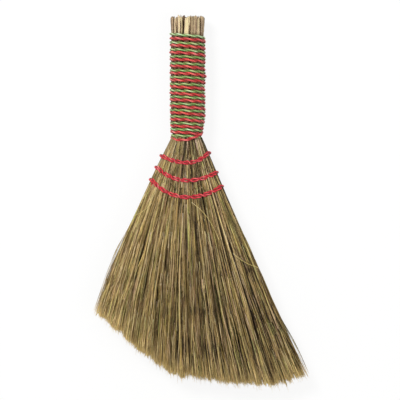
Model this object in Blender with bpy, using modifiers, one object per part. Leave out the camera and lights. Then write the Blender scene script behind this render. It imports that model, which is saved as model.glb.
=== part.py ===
"""Hand broom of bound grass stalks, lying on its back. Metres, +Z up.

The handle lies along +Y and the bristles fan out towards -Y. Every piece hangs from one
empty whose origin is the neck, on the axis of the handle, where the bristles begin.
"""

import math
import random

import bmesh
import bpy
from mathutils import Vector

# Clearances
SEAT_GAP = 0.0003
CUT_OVERRUN = 0.010
MERGE_DISTANCE = 0.00001

# Stalks of the handle
BUNDLE_RADIUS = 0.0177
STALK_LENGTH = 0.1355
STALK_TOP_SPREAD = 0.0030
STALK_CHAMFER = 0.0004
PITH_DEPTH = 0.0004
PITH_WIDTH_SHARE = 0.62
STALK_SIDES = 8
RING_TRIALS = 60
OUTER_STALK_SHARES = (0.75, 0.70, 0.85, 1.15, 1.35, 0.80, 0.75, 1.20, 0.70, 0.80,
                      1.00, 0.90, 1.10, 0.80, 1.05, 0.95, 0.85, 1.10, 0.90, 1.00)
MIDDLE_STALK_SHARES = (0.95, 1.10, 0.90, 1.05, 1.00, 0.90, 1.10, 0.95, 1.05, 0.90, 1.00)
INNER_STALK_SHARES = (1.00, 0.90, 1.05, 0.95, 1.10)

# Two cords wound round the handle, one after the other
CORD_DIAMETER = 0.0026
CORD_FLAT_SHARE = 0.1
WINDING_TURNS = 15.5
WINDING_PITCH = 0.00705
WINDING_FOOT = 0.0007
RED_LAG_SHARE = 0.46
LOOP_POINTS = 11
CORD_BEVEL_RESOLUTION = 1
GAP_SAMPLES = 8

# Fan of the bristles
NECK_OVERHANG = 0.0015
NECK_INSET = 0.0002
LEFT_ANGLE = math.radians(25.7)
RIGHT_ANGLE = math.radians(22.6)
TUFT_COUNT = 7
TUFT_GAP = 0.0004
TUFT_BULGE = 0.0012
TUFT_ROOT_LENGTH = 0.0100
ROOT_HALF_DEPTH = 0.0138
BRISTLE_REST_CUT = 0.0005
NECK_EDGE_SHARE = 0.30
TOP_EDGE_SHARE = 0.60
UNDER_EDGE_SHARE = 0.95
EDGE_ROUNDING = 2.5

# Strands of each tuft, in layers from its underside to its top, with their lengths and
# directions at the sides of the tufts, from the left edge of the fan to the right
STRAND_LENGTHS = (0.1495, 0.1540, 0.1685, 0.1815, 0.1890, 0.1990, 0.2095, 0.2095)
LEFT_STRAND_ANGLE = math.radians(21.0)
RIGHT_STRAND_ANGLE = math.radians(23.4)
LEFT_STRAND_BOW = 0.0064
BOW_PLACE_SHARE = 0.45
LAYER_COUNTS = (6, 7, 6, 7)
STRAND_EMBED = 0.0020
STRAND_RAGGED_LENGTH = 0.0060
STRAND_WIDTH_SHARE = 0.76
STRAND_DEPTH_SHARE = 0.50
STRAND_WANDER_SHARE = 0.08

# Sewn rows: distance from the neck, rise of the left and right end, half depth of the tufts
ROW_CORD_DIAMETER = 0.0020
ROW_LANE_GAP = 0.0013
ROW_CORNER_SHARE = 0.36
ROW_SLANT_SHARE = 1.35
ROW_DISTANCES = (0.0246, 0.0440, 0.0623)
ROW_LEFT_RISES = (0.0014, 0.0079, 0.0118)
ROW_RIGHT_RISES = (0.0072, 0.0030, 0.0052)
ROW_HALF_DEPTHS = (0.0145, 0.0135, 0.0130)
ROW_TURN_STRETCHES = 4
ROW_NAMES = ("upper_sewn_row", "middle_sewn_row", "lower_sewn_row")

# Sizes that follow from the ones above
CORD_RADIUS = CORD_DIAMETER / 2
ROW_CORD_RADIUS = ROW_CORD_DIAMETER / 2
NECK_HALF_WIDTH = BUNDLE_RADIUS + NECK_OVERHANG
NECK_HALF_DEPTH = BUNDLE_RADIUS - NECK_INSET
TUFT_ANGLE = (LEFT_ANGLE + RIGHT_ANGLE) / TUFT_COUNT
APEX_HEIGHT = 2 * NECK_HALF_WIDTH / (math.tan(LEFT_ANGLE) + math.tan(RIGHT_ANGLE))
AXIS_HEIGHT = BUNDLE_RADIUS + SEAT_GAP + CORD_DIAMETER * (1 - CORD_FLAT_SHARE)
LAYER_SHARE = 2 / len(LAYER_COUNTS)
UNDERSIDE_SHARE = 1 - LAYER_SHARE / 2 * (1 - STRAND_DEPTH_SHARE)
TIP_HALF_DEPTH = (AXIS_HEIGHT + BRISTLE_REST_CUT) / UNDERSIDE_SHARE
ROW_LANE = (ROW_CORD_DIAMETER + ROW_LANE_GAP) / 2
WAIST_HALF_LENGTH = ROW_LANE + ROW_CORD_RADIUS * ROW_SLANT_SHARE + SEAT_GAP
WAIST_OFFSET = ROW_CORD_RADIUS + SEAT_GAP
SEED = 7

# Colours, linear
STALK_COLOUR = (0.42, 0.31, 0.17)
PALE_STALK_COLOUR = (0.72, 0.62, 0.30)
BRISTLE_COLOUR = (0.23, 0.17, 0.075)
GREEN_COLOUR = (0.24, 0.48, 0.14)
RED_COLOUR = (0.52, 0.03, 0.04)
PALE_STALKS = ("outer_stalk_04", "outer_stalk_05")


def clear_scene():
    for existing in list(bpy.data.objects):
        bpy.data.objects.remove(existing, do_unlink=True)


def new_collection(name):
    collection = bpy.data.collections.new(name)
    bpy.context.scene.collection.children.link(collection)
    return collection


def new_material(name, colour, roughness):
    material = bpy.data.materials.new(name)
    material.use_nodes = True
    shader = material.node_tree.nodes["Principled BSDF"]
    shader.inputs["Base Color"].default_value = (*colour, 1)
    shader.inputs["Roughness"].default_value = roughness
    shader.inputs["Metallic"].default_value = 0
    return material


def add_object(name, data, collection, frame):
    piece = bpy.data.objects.new(name, data)
    collection.objects.link(piece)
    piece.parent = frame
    return piece


def add_cutter(name, data, cutters, frame):
    cutter = add_object(name, data, cutters, frame)
    cutter.hide_render = True
    cutter.display_type = "WIRE"
    return cutter


def add_boolean(piece, operation, other):
    modifier = piece.modifiers.new(operation.lower(), "BOOLEAN")
    modifier.operation = operation
    modifier.solver = "EXACT"
    modifier.object = other


def add_floor_cutter(cutters, frame):
    """A slab whose top is the surface that the broom lies on."""
    size = 2 * (APEX_HEIGHT + max(ROW_DISTANCES) + max(STRAND_LENGTHS) + STALK_LENGTH)
    mesh = bpy.data.meshes.new("floor_cutter")
    shape = bmesh.new()
    bmesh.ops.create_cube(shape, size=1)
    bmesh.ops.scale(shape, vec=(size, size, CUT_OVERRUN), verts=shape.verts)
    shape.to_mesh(mesh)
    shape.free()
    cutter = add_cutter("floor_cutter", mesh, cutters, frame)
    cutter.location = (0, 0, -AXIS_HEIGHT - CUT_OVERRUN / 2)
    return cutter


# Stalks

def ring_angles(radii, envelope):
    """The angle that each stalk takes up beside the next, all touching one outer circle."""
    angles = []
    for index, radius in enumerate(radii):
        following = radii[(index + 1) % len(radii)]
        first = envelope - radius
        second = envelope - following
        apart = radius + following + SEAT_GAP
        cosine = (first ** 2 + second ** 2 - apart ** 2) / (2 * first * second)
        angles.append(math.acos(max(-1.0, min(1.0, cosine))))
    return angles


def ring_radii(shares, envelope):
    """Radii in proportion to the shares, as large as lets the ring close."""
    low = 0
    high = envelope / (2 * max(shares))
    for _ in range(RING_TRIALS):
        unit = (low + high) / 2
        radii = [share * unit for share in shares]
        if sum(ring_angles(radii, envelope)) > math.tau:
            high = unit
        else:
            low = unit
    return [share * low for share in shares]


def ring_places(shares, envelope, start):
    """Centre x and z and radius of each stalk of a ring, left to right over the front."""
    radii = ring_radii(shares, envelope)
    places = []
    angle = start
    for radius, step in zip(radii, ring_angles(radii, envelope)):
        reach = envelope - radius
        places.append((-reach * math.cos(angle), reach * math.sin(angle), radius))
        angle += step
    return places


def stalk_mesh(name, radius, length):
    """Half profile of a stalk with a chamfered rim round its dished pith."""
    pith = radius * PITH_WIDTH_SHARE
    profile = (
        (0, length - PITH_DEPTH),
        (pith, length - PITH_DEPTH),
        (radius - STALK_CHAMFER, length),
        (radius, length - STALK_CHAMFER),
        (radius, SEAT_GAP),
        (0, SEAT_GAP),
    )
    mesh = bpy.data.meshes.new(name)
    points = [(across, along, 0) for across, along in profile]
    mesh.from_pydata(points, [(index, index + 1) for index in range(len(points) - 1)], [])
    return mesh


def add_stalk(name, place, length, material, parts, frame):
    across, height, radius = place
    piece = add_object(name, stalk_mesh(name, radius, length), parts, frame)
    piece.location = (across, 0, height)
    screw = piece.modifiers.new("turned", "SCREW")
    screw.axis = "Y"
    screw.steps = STALK_SIDES
    screw.render_steps = STALK_SIDES
    screw.use_merge_vertices = True
    screw.merge_threshold = MERGE_DISTANCE
    piece.data.materials.append(material)


def add_stalks(parts, frame):
    """Three rings of stalks round one core stalk."""
    draw = random.Random(SEED)
    rings = (
        ("outer_stalk", OUTER_STALK_SHARES),
        ("middle_stalk", MIDDLE_STALK_SHARES),
        ("inner_stalk", INNER_STALK_SHARES),
    )
    envelope = BUNDLE_RADIUS
    for ring_name, shares in rings:
        places = ring_places(shares, envelope, math.pi / len(shares))
        for index, place in enumerate(places):
            name = f"{ring_name}_{index + 1:02d}"
            colour = PALE_STALK_COLOUR if name in PALE_STALKS else STALK_COLOUR
            material = new_material(name, colour, 0.75)
            length = STALK_LENGTH - draw.random() * STALK_TOP_SPREAD
            add_stalk(name, place, length, material, parts, frame)
        envelope -= 2 * max(place[2] for place in places) + SEAT_GAP
    core = (0, 0, envelope)
    material = new_material("core_stalk", STALK_COLOUR, 0.75)
    add_stalk("core_stalk", core, STALK_LENGTH - STALK_TOP_SPREAD, material, parts, frame)


# Cords

def add_tube(name, points, radius, parts, frame):
    """One unbroken tube along the points, as a closed mesh."""
    curve = bpy.data.curves.new(name, "CURVE")
    curve.dimensions = "3D"
    curve.bevel_depth = radius
    curve.bevel_resolution = CORD_BEVEL_RESOLUTION
    curve.use_fill_caps = True
    spline = curve.splines.new("POLY")
    spline.points.add(len(points) - 1)
    for target, point in zip(spline.points, points):
        target.co = (*point, 1)
    guide = add_object(f"{name}_path", curve, parts, frame)
    bpy.context.view_layer.update()
    evaluated = guide.evaluated_get(bpy.context.evaluated_depsgraph_get())
    mesh = bpy.data.meshes.new_from_object(evaluated)
    mesh.name = name
    shape = bmesh.new()
    shape.from_mesh(mesh)
    bmesh.ops.remove_doubles(shape, verts=shape.verts, dist=MERGE_DISTANCE)
    shape.to_mesh(mesh)
    shape.free()
    piece = add_object(name, mesh, parts, frame)
    piece.matrix_world = guide.matrix_world.copy()
    bpy.data.objects.remove(guide, do_unlink=True)
    mesh.shade_smooth()
    return piece


def distance_between(first, first_end, second, second_end):
    """Least distance between two straight stretches, on points along both."""
    least = math.inf
    shares = [step / GAP_SAMPLES for step in range(GAP_SAMPLES + 1)]
    for share in shares:
        start = first.lerp(first_end, share)
        for other_share in shares:
            end = second.lerp(second_end, other_share)
            least = min(least, (start - end).length)
    return least


def least_self_gap(points, radius, skipped):
    """Least gap of a tube to itself, past the stretches next to each one."""
    least = math.inf
    reach = max((end - start).length for start, end in zip(points, points[1:]))
    for index in range(len(points) - 1):
        for other in range(index + skipped, len(points) - 1):
            if (points[index] - points[other]).length > least + 2 * reach:
                continue
            apart = distance_between(points[index], points[index + 1],
                                     points[other], points[other + 1])
            least = min(least, apart)
    return least - 2 * radius


def winding_points(lag):
    """A helix round the stalks, from the left of its top down, level under each loop."""
    reach = (BUNDLE_RADIUS + SEAT_GAP + CORD_RADIUS) / math.cos(math.pi / LOOP_POINTS)
    top = WINDING_FOOT + CORD_RADIUS + (WINDING_TURNS + RED_LAG_SHARE) * WINDING_PITCH
    phase = (LOOP_POINTS * 3 / 4 - 1 / 2) % 1
    points = []
    for step in range(int(WINDING_TURNS * LOOP_POINTS)):
        turn = (step + phase) / LOOP_POINTS
        angle = turn * math.tau
        along = top - (turn + lag) * WINDING_PITCH
        points.append(Vector((-reach * math.cos(angle), along, reach * math.sin(angle))))
    return points


def add_windings(parts, floor_cutter, frame):
    for name, lag, colour in (("green_winding", 0, GREEN_COLOUR),
                              ("red_winding", RED_LAG_SHARE, RED_COLOUR)):
        points = winding_points(lag)
        piece = add_tube(name, points, CORD_RADIUS, parts, frame)
        add_boolean(piece, "DIFFERENCE", floor_cutter)
        piece.data.materials.append(new_material(name, colour, 0.8))
        gap = least_self_gap(points, CORD_RADIUS, LOOP_POINTS // 2)
        print(f"{name}: least gap to itself {gap:.5f} m")


# Fan of tufts

def boundary_angle(boundary):
    """The ray between two tufts, where 0 is the left edge of the fan."""
    return -LEFT_ANGLE + TUFT_ANGLE * boundary


def edge_share(angle):
    """How far out a ray lies: 0 in the middle of the fan and 1 at its edge."""
    return -angle / LEFT_ANGLE if angle < 0 else angle / RIGHT_ANGLE


def fan_point(angle, reach, offset, height):
    """A point that lies reach from the apex along a ray, and offset to the ray's right."""
    return Vector((
        reach * math.sin(angle) + offset * math.cos(angle),
        APEX_HEIGHT - reach * math.cos(angle) + offset * math.sin(angle),
        height,
    ))


def neck_reach(angle, offset=0):
    return (APEX_HEIGHT + offset * math.sin(angle)) / math.cos(angle)


def row_reach(row, angle):
    """Reach of a sewn row, which rises towards both edges of the fan."""
    rise = ROW_LEFT_RISES[row] if angle < 0 else ROW_RIGHT_RISES[row]
    return APEX_HEIGHT + ROW_DISTANCES[row] - rise * edge_share(angle) ** 2


def root_reach(angle):
    """Reach at which the tufts part into strands."""
    last = len(ROW_DISTANCES) - 1
    return row_reach(last, angle) + WAIST_HALF_LENGTH + TUFT_ROOT_LENGTH


def strand_length(boundary):
    """Length of the strands at a boundary, or between two of them."""
    left = min(int(boundary), TUFT_COUNT - 1)
    part = boundary - left
    return STRAND_LENGTHS[left] * (1 - part) + STRAND_LENGTHS[left + 1] * part


def depth_share(boundary, reach, upper):
    """Depth of the fan on a ray as a share of the depth in its middle."""
    angle = boundary_angle(boundary)
    start = neck_reach(angle)
    end = root_reach(angle) + strand_length(boundary)
    along = min(1, (reach - start) / (end - start))
    end = TOP_EDGE_SHARE if upper else UNDER_EDGE_SHARE
    edge = NECK_EDGE_SHARE + (end - NECK_EDGE_SHARE) * along
    return 1 - (1 - edge) * edge_share(angle) ** EDGE_ROUNDING


def surface_height(boundary, reach, core, upper):
    """Height of the fan's upper or lower surface, which is straight across each tuft."""
    left = min(int(boundary), TUFT_COUNT - 1)
    part = boundary - left
    share = depth_share(left, reach, upper) * (1 - part)
    share += depth_share(left + 1, reach, upper) * part
    return core * share if upper else -core * share


def side_offset(boundary, waist):
    """Half of the room between two tufts, wider where a sewn cord passes through."""
    inside = 0 < boundary < TUFT_COUNT
    return WAIST_OFFSET if waist and inside else TUFT_GAP / 2


def tuft_stations(boundary):
    """Reach, core depth and waist flag of each section at one side of a tuft."""
    angle = boundary_angle(boundary)
    stations = [(neck_reach(angle), NECK_HALF_DEPTH, False)]
    for row, row_depth in enumerate(ROW_HALF_DEPTHS):
        start = row_reach(row, angle) - WAIST_HALF_LENGTH
        previous_reach, previous_depth, _ = stations[-1]
        bulge_depth = (previous_depth + row_depth) / 2 + TUFT_BULGE
        stations.append(((previous_reach + start) / 2, bulge_depth, False))
        stations.append((start, row_depth, True))
        stations.append((start + 2 * WAIST_HALF_LENGTH, row_depth, True))
    stations.append((root_reach(angle), ROOT_HALF_DEPTH, False))
    return stations


def side_points(boundary, direction):
    """Upper and lower corner of each section, on the right (1) or left (-1) of a boundary."""
    angle = boundary_angle(boundary)
    corners = []
    for index, (reach, core, waist) in enumerate(tuft_stations(boundary)):
        offset = direction * side_offset(boundary, waist)
        if index == 0:
            reach = neck_reach(angle, offset)
        beside = boundary + offset / (reach * TUFT_ANGLE)
        upper = surface_height(beside, reach, core, True)
        lower = surface_height(beside, reach, core, False)
        corners.append((fan_point(angle, reach, offset, upper),
                        fan_point(angle, reach, offset, lower)))
    return corners


def add_loft(shape, sections):
    """Faces between sections of as many corners each, with a cap at both ends."""
    rings = [[shape.verts.new(corner) for corner in section] for section in sections]
    for near, far in zip(rings, rings[1:]):
        for index in range(len(near)):
            following = (index + 1) % len(near)
            shape.faces.new((near[index], near[following], far[following], far[index]))
    shape.faces.new(reversed(rings[0]))
    shape.faces.new(rings[-1])


def finished_mesh(name, shape):
    bmesh.ops.recalc_face_normals(shape, faces=shape.faces)
    mesh = bpy.data.meshes.new(name)
    shape.to_mesh(mesh)
    shape.free()
    return mesh


def tuft_root_mesh(name, tuft):
    """A loft of four-sided sections, waisted where the sewn rows bind it."""
    shape = bmesh.new()
    sides = zip(side_points(tuft, 1), side_points(tuft + 1, -1))
    add_loft(shape, [(left[0], left[1], right[1], right[0]) for left, right in sides])
    return finished_mesh(name, shape)


def strand_root(tuft, across, depth):
    """A point of a strand inside the end of its tuft."""
    boundary = tuft + across
    reach = root_reach(boundary_angle(boundary)) - STRAND_EMBED
    height = abs(depth) * surface_height(boundary, reach, ROOT_HALF_DEPTH, depth > 0)
    return fan_point(boundary_angle(boundary), reach, (1 - 2 * across) * TUFT_GAP, height)


def strand_tip(boundary, depth, along):
    """A point of a strand at its end, at a distance along it from the end of its tuft."""
    angle = boundary_angle(boundary)
    height = abs(depth) * surface_height(boundary, root_reach(angle) + along, TIP_HALF_DEPTH, depth > 0)
    across = boundary / TUFT_COUNT
    direction = RIGHT_STRAND_ANGLE * across - LEFT_STRAND_ANGLE * (1 - across)
    course = Vector((along * math.sin(direction), -along * math.cos(direction), height))
    return fan_point(angle, root_reach(angle), 0, 0) + course


def bowed_point(root, tip, boundary):
    """A point of a strand of the left tuft, which bows out most at the edge of the fan."""
    course = tip - root
    outwards = course.cross(Vector((0, 0, 1))).normalized()
    return root + course * BOW_PLACE_SHARE + outwards * LEFT_STRAND_BOW * (1 - boundary)


def add_strand(shape, tuft, across, depth, width, wander, along):
    """A four-sided strand that widens with the fan from its root to its tip."""
    half_width = width / 2
    half_depth = LAYER_SHARE / 2 * STRAND_DEPTH_SHARE
    corners = [(across - half_width, depth - half_depth), (across + half_width, depth - half_depth),
               (across + half_width, depth + half_depth), (across - half_width, depth + half_depth)]
    root = [strand_root(tuft, place, layer) for place, layer in corners]
    tip = [strand_tip(tuft + place + wander, layer, along) for place, layer in corners]
    sections = [root, tip]
    if tuft == 0:
        bowed = [bowed_point(low, high, place) for low, high, (place, _) in zip(root, tip, corners)]
        sections.insert(1, bowed)
    add_loft(shape, sections)


def strand_mesh(name, tuft, draw):
    """All strands of a tuft, from their roots to the ragged end."""
    shape = bmesh.new()
    for layer, count in enumerate(LAYER_COUNTS):
        depth = -1 + (layer + 0.5) * LAYER_SHARE
        for column in range(count):
            across = (column + 0.5) / count
            wander = draw.uniform(-1, 1) * STRAND_WANDER_SHARE / count
            along = strand_length(tuft + across + wander) + draw.uniform(-1, 1) * STRAND_RAGGED_LENGTH
            add_strand(shape, tuft, across, depth, STRAND_WIDTH_SHARE / count, wander, along)
    bmesh.ops.triangulate(shape, faces=shape.faces)
    return finished_mesh(name, shape)


def add_tufts(parts, cutters, floor_cutter, frame):
    draw = random.Random(SEED)
    for tuft in range(TUFT_COUNT):
        name = f"bristle_tuft_{tuft + 1}"
        piece = add_object(name, tuft_root_mesh(name, tuft), parts, frame)
        strands_name = f"{name}_strands"
        strands = add_cutter(strands_name, strand_mesh(strands_name, tuft, draw), cutters, frame)
        add_boolean(piece, "UNION", strands)
        add_boolean(piece, "DIFFERENCE", floor_cutter)
        piece.data.materials.append(new_material(name, BRISTLE_COLOUR, 0.85))


# Sewn rows

def lane_place(row, boundary, lane):
    """Where a cord passes a boundary: between two tufts, or outside the edge of the fan."""
    outside = ROW_CORD_RADIUS + SEAT_GAP - TUFT_GAP / 2
    offset = {0: -outside, TUFT_COUNT: outside}.get(boundary, 0)
    angle = boundary_angle(boundary)
    return fan_point(angle, row_reach(row, angle) + lane * ROW_LANE, offset, 0)


def lane_height(row, boundary, upper):
    """Height at which a cord clears the tufts beside a boundary."""
    reach = row_reach(row, boundary_angle(boundary))
    height = surface_height(boundary, reach, ROW_HALF_DEPTHS[row], upper)
    steepest = 0
    for other in (boundary - 1, boundary + 1):
        if 0 <= other <= TUFT_COUNT:
            other_reach = row_reach(row, boundary_angle(other))
            other_height = surface_height(other, other_reach, ROW_HALF_DEPTHS[row], upper)
            apart = (lane_place(row, other, 0) - lane_place(row, boundary, 0)).length
            steepest = max(steepest, abs(other_height - height) / apart)
    clearance = (ROW_CORD_RADIUS + SEAT_GAP) * math.hypot(1, steepest)
    return height + clearance if upper else height - clearance


def front_lane(boundary, tuft):
    """Lane of the cord that lies in front of a tuft, at one of its boundaries."""
    return -1 if boundary == tuft else 1


def row_stops():
    """Boundaries that the cord passes, in order, with its lane and the side it comes from.

    It starts at the right edge, runs to the left edge in front of every second tuft,
    turns round the edge and comes back behind those tufts.
    """
    stops = []
    for boundary in range(TUFT_COUNT, -1, -1):
        in_front = boundary < TUFT_COUNT and boundary % 2 == 0
        tuft = boundary if in_front else boundary - 1
        stops.append((boundary, front_lane(boundary, tuft), in_front))
    for boundary in range(1, TUFT_COUNT + 1):
        stops.append((boundary, -stops[TUFT_COUNT - boundary][1], boundary % 2 == 0))
    return stops


def turn_points(place, beyond, height):
    """The turn of a cord from the surface, where it comes from beyond, into a gap."""
    corner = ROW_CORD_DIAMETER * ROW_CORNER_SHARE
    along = (beyond - place).normalized() * corner
    inside = height - math.copysign(corner, height)
    return [place + along + Vector((0, 0, height)), place + Vector((0, 0, inside))]


def row_points(row):
    """The route of one sewn cord, folded round the left edge of the fan."""
    stops = row_stops()
    places = [lane_place(row, boundary, lane) for boundary, lane, _ in stops]
    points = [places[0]]
    for index, (boundary, _, from_front) in enumerate(stops):
        place = places[index]
        if index > 0:
            height = lane_height(row, boundary, from_front)
            points.extend(turn_points(place, places[index - 1], height))
        if index < len(stops) - 1:
            height = lane_height(row, boundary, not from_front)
            points.extend(reversed(turn_points(place, places[index + 1], height)))
    points.append(places[-1])
    return points


def add_rows(parts, frame):
    for row, name in enumerate(ROW_NAMES):
        points = row_points(row)
        piece = add_tube(name, points, ROW_CORD_RADIUS, parts, frame)
        piece.data.materials.append(new_material(name, RED_COLOUR, 0.8))
        gap = least_self_gap(points, ROW_CORD_RADIUS, ROW_TURN_STRETCHES)
        print(f"{name}: least gap to itself {gap:.5f} m")


def centre_on_floor(parts, frame):
    """Stands the broom's box on the floor, with its middle over the origin."""
    bpy.context.view_layer.update()
    graph = bpy.context.evaluated_depsgraph_get()
    corners = []
    for piece in parts.objects:
        evaluated = piece.evaluated_get(graph)
        corners.extend(evaluated.matrix_world @ Vector(corner) for corner in evaluated.bound_box)
    for axis in range(2):
        values = [corner[axis] for corner in corners]
        frame.location[axis] -= (min(values) + max(values)) / 2
    bpy.context.view_layer.update()


def print_rest_point(frame):
    """The flat under a loop of the green cord, halfway along the handle."""
    points = winding_points(0)
    start = int(WINDING_TURNS / 2) * LOOP_POINTS + int(LOOP_POINTS * 3 / 4 - 1 / 2)
    middle = (points[start] + points[start + 1]) / 2
    place = frame.location + Vector((middle.x, middle.y, -AXIS_HEIGHT))
    print("rest point", [round(value, 6) for value in place])


def main():
    clear_scene()
    parts = new_collection("hand_broom")
    cutters = new_collection("cutters")
    frame = bpy.data.objects.new("broom_frame", None)
    bpy.context.scene.collection.objects.link(frame)
    frame.location = (0, 0, AXIS_HEIGHT)
    floor_cutter = add_floor_cutter(cutters, frame)
    add_stalks(parts, frame)
    add_windings(parts, floor_cutter, frame)
    add_tufts(parts, cutters, floor_cutter, frame)
    add_rows(parts, frame)
    centre_on_floor(parts, frame)
    print_rest_point(frame)


main()
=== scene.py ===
"""Looks of a hand broom of bound grass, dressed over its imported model. Metres, +Z up.

Shapes are worked out in the broom's own frame, whose origin is the neck on the handle's
axis: x runs to the right, y up the handle and z towards the viewer.
"""

from math import atan2, hypot, pi, radians, sqrt, tan, tau

import bpy
import numpy as np
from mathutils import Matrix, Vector


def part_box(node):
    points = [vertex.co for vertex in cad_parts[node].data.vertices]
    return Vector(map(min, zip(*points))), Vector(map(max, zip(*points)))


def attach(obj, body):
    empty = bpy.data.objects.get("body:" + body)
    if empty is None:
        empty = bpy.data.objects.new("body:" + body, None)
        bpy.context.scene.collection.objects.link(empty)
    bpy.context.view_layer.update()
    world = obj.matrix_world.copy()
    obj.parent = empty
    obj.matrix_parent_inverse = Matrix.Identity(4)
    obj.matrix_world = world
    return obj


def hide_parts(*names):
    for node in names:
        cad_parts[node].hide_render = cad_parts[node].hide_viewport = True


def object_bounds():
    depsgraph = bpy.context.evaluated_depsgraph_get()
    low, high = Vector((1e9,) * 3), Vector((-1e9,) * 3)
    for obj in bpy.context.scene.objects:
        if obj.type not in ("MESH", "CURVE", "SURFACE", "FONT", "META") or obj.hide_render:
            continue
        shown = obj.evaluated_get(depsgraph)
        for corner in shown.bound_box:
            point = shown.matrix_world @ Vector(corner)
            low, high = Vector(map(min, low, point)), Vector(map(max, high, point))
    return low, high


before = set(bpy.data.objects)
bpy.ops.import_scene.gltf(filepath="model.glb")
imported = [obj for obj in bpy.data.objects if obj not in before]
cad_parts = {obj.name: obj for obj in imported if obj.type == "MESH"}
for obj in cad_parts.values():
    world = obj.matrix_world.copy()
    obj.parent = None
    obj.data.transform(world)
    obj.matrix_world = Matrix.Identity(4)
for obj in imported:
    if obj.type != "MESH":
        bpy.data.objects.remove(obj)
cad_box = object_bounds()

SEED = 11
MAP_NAME = "OFBake"
FRONT = np.array((0.0, 0.0, 1.0))
UP_THE_HANDLE = np.array((0.0, 1.0, 0.0))

# Frame of the broom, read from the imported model
CORE_LOW, CORE_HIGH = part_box("core_stalk")
NECK_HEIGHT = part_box("bristle_tuft_4")[1].y
ORIGIN = Vector(((CORE_LOW.x + CORE_HIGH.x) / 2, NECK_HEIGHT, (CORE_LOW.z + CORE_HIGH.z) / 2))
FLOOR_CLEARANCE = 0.0002
TOP_ALLOWANCE = 0.0002
LOWEST = FLOOR_CLEARANCE - ORIGIN.z
CEILING = cad_box[1][2] - ORIGIN.z + TOP_ALLOWANCE

# Photograph: size of its frame on the broom, and its middle from the neck
VIEW_WIDTH = 0.44
VIEW_CENTRE = (0.01364, -0.06545)
CAMERA_DISTANCE = 3.0
SENSOR_WIDTH = 36.0

# Fan of the bristles
TUFT_COUNT = 7
NECK_HALF_WIDTH = 0.0192
LEFT_ANGLE = radians(25.7)
RIGHT_ANGLE = radians(22.6)
APEX = 2 * NECK_HALF_WIDTH / (tan(LEFT_ANGLE) + tan(RIGHT_ANGLE))
START_RISE = 0.004
START_X = (-0.0168, 0.015)
START_ANGLES = (radians(-26.8), radians(23.0))
END_ANGLES = (radians(-16.5), radians(23.0))
CUT_X = (-0.0978, -0.074, -0.0478, -0.0165, 0.0184, 0.055, 0.0928, 0.1262)
CUT_Y = (-0.1905, -0.2097, -0.233, -0.253, -0.2605, -0.2645, -0.267, -0.256)
NECK_DEPTH = 0.016
ROW_DEPTHS = (0.0145, 0.0135, 0.013)
BULGE_DEPTH = 0.0013
TIP_DEPTH = 0.0204
NECK_EDGE_SHARE = 0.3
TOP_EDGE_SHARE = 0.6
UNDER_EDGE_SHARE = 0.92
EDGE_ROUNDING = 2.5
EDGE_LIMIT = 1.05
LOOSE_SWELLING = 1.5

# Sewn rows
ROW_DISTANCES = (0.0246, 0.044, 0.0623)
ROW_LEFT_RISES = (0.0014, 0.0079, 0.0118)
ROW_RIGHT_RISES = (0.0072, 0.003, 0.0052)
ROW_NAMES = ("upper_sewn_row", "middle_sewn_row", "lower_sewn_row")
ROW_COUNT = len(ROW_NAMES)


def smooth(low, high, value):
    """0 below low and 1 above high, with an even curve between them."""
    share = np.clip((value - low) / (high - low), 0, 1)
    return share * share * (3 - 2 * share)


def blend(ends, share):
    return ends[0] * (1 - share) + ends[1] * share


def linear(*colour):
    """A colour written as 0 to 255, in linear light."""
    return tuple((value / 255) ** 2.2 for value in colour) + (1.0,)


def linear_stops(*rows):
    """Stops of a ramp, where each row is a place and a colour written as 0 to 255."""
    return [(place, linear(*colour)) for place, *colour in rows]


def unit(vectors):
    return vectors / np.linalg.norm(vectors, axis=-1, keepdims=True)


def distance_along(lines):
    steps = np.linalg.norm(np.diff(lines, axis=-2), axis=-1)
    return np.concatenate([np.zeros_like(steps[..., :1]), np.cumsum(steps, axis=-1)], axis=-1)


def between(places, known, points):
    """Points at the places, read off between the known ones."""
    return np.stack([np.interp(places, known, points[:, axis]) for axis in range(3)], axis=1)


# Tubes

# How far the noise moves on from one group of tubes, or one tube, to the next
GROUP_SHIFT = 0.37
TUBE_SHIFT = 0.01
# Layout of the map
PART_STATIONS = 60
STRIPS_TO_HEIGHT = 8
SIDE_MARGIN = 0.05
END_MARGIN = 0.02
CAP_MARGIN = 0.01
CAP_SIZE = 0.002


def spread_out(value):
    """One value for all, or one to each tube, station or corner, on three axes."""
    value = np.asarray(value, float)
    return value.reshape(value.shape + (1,) * (3 - value.ndim))


def rings(centres, radii, sides, facing=FRONT, course=None):
    """Corners round centre lines: (tubes, stations, sides, 3)."""
    if course is None:
        course = unit(np.gradient(centres, axis=1))
    course = np.broadcast_to(course, centres.shape)
    across = unit(np.cross(course, facing))
    up = np.cross(across, course)
    angles = (np.arange(sides) * tau / sides)[:, None]
    spokes = np.cos(angles) * across[:, :, None] + np.sin(angles) * up[:, :, None]
    return centres[:, :, None] + spread_out(radii)[..., None] * spokes


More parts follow.
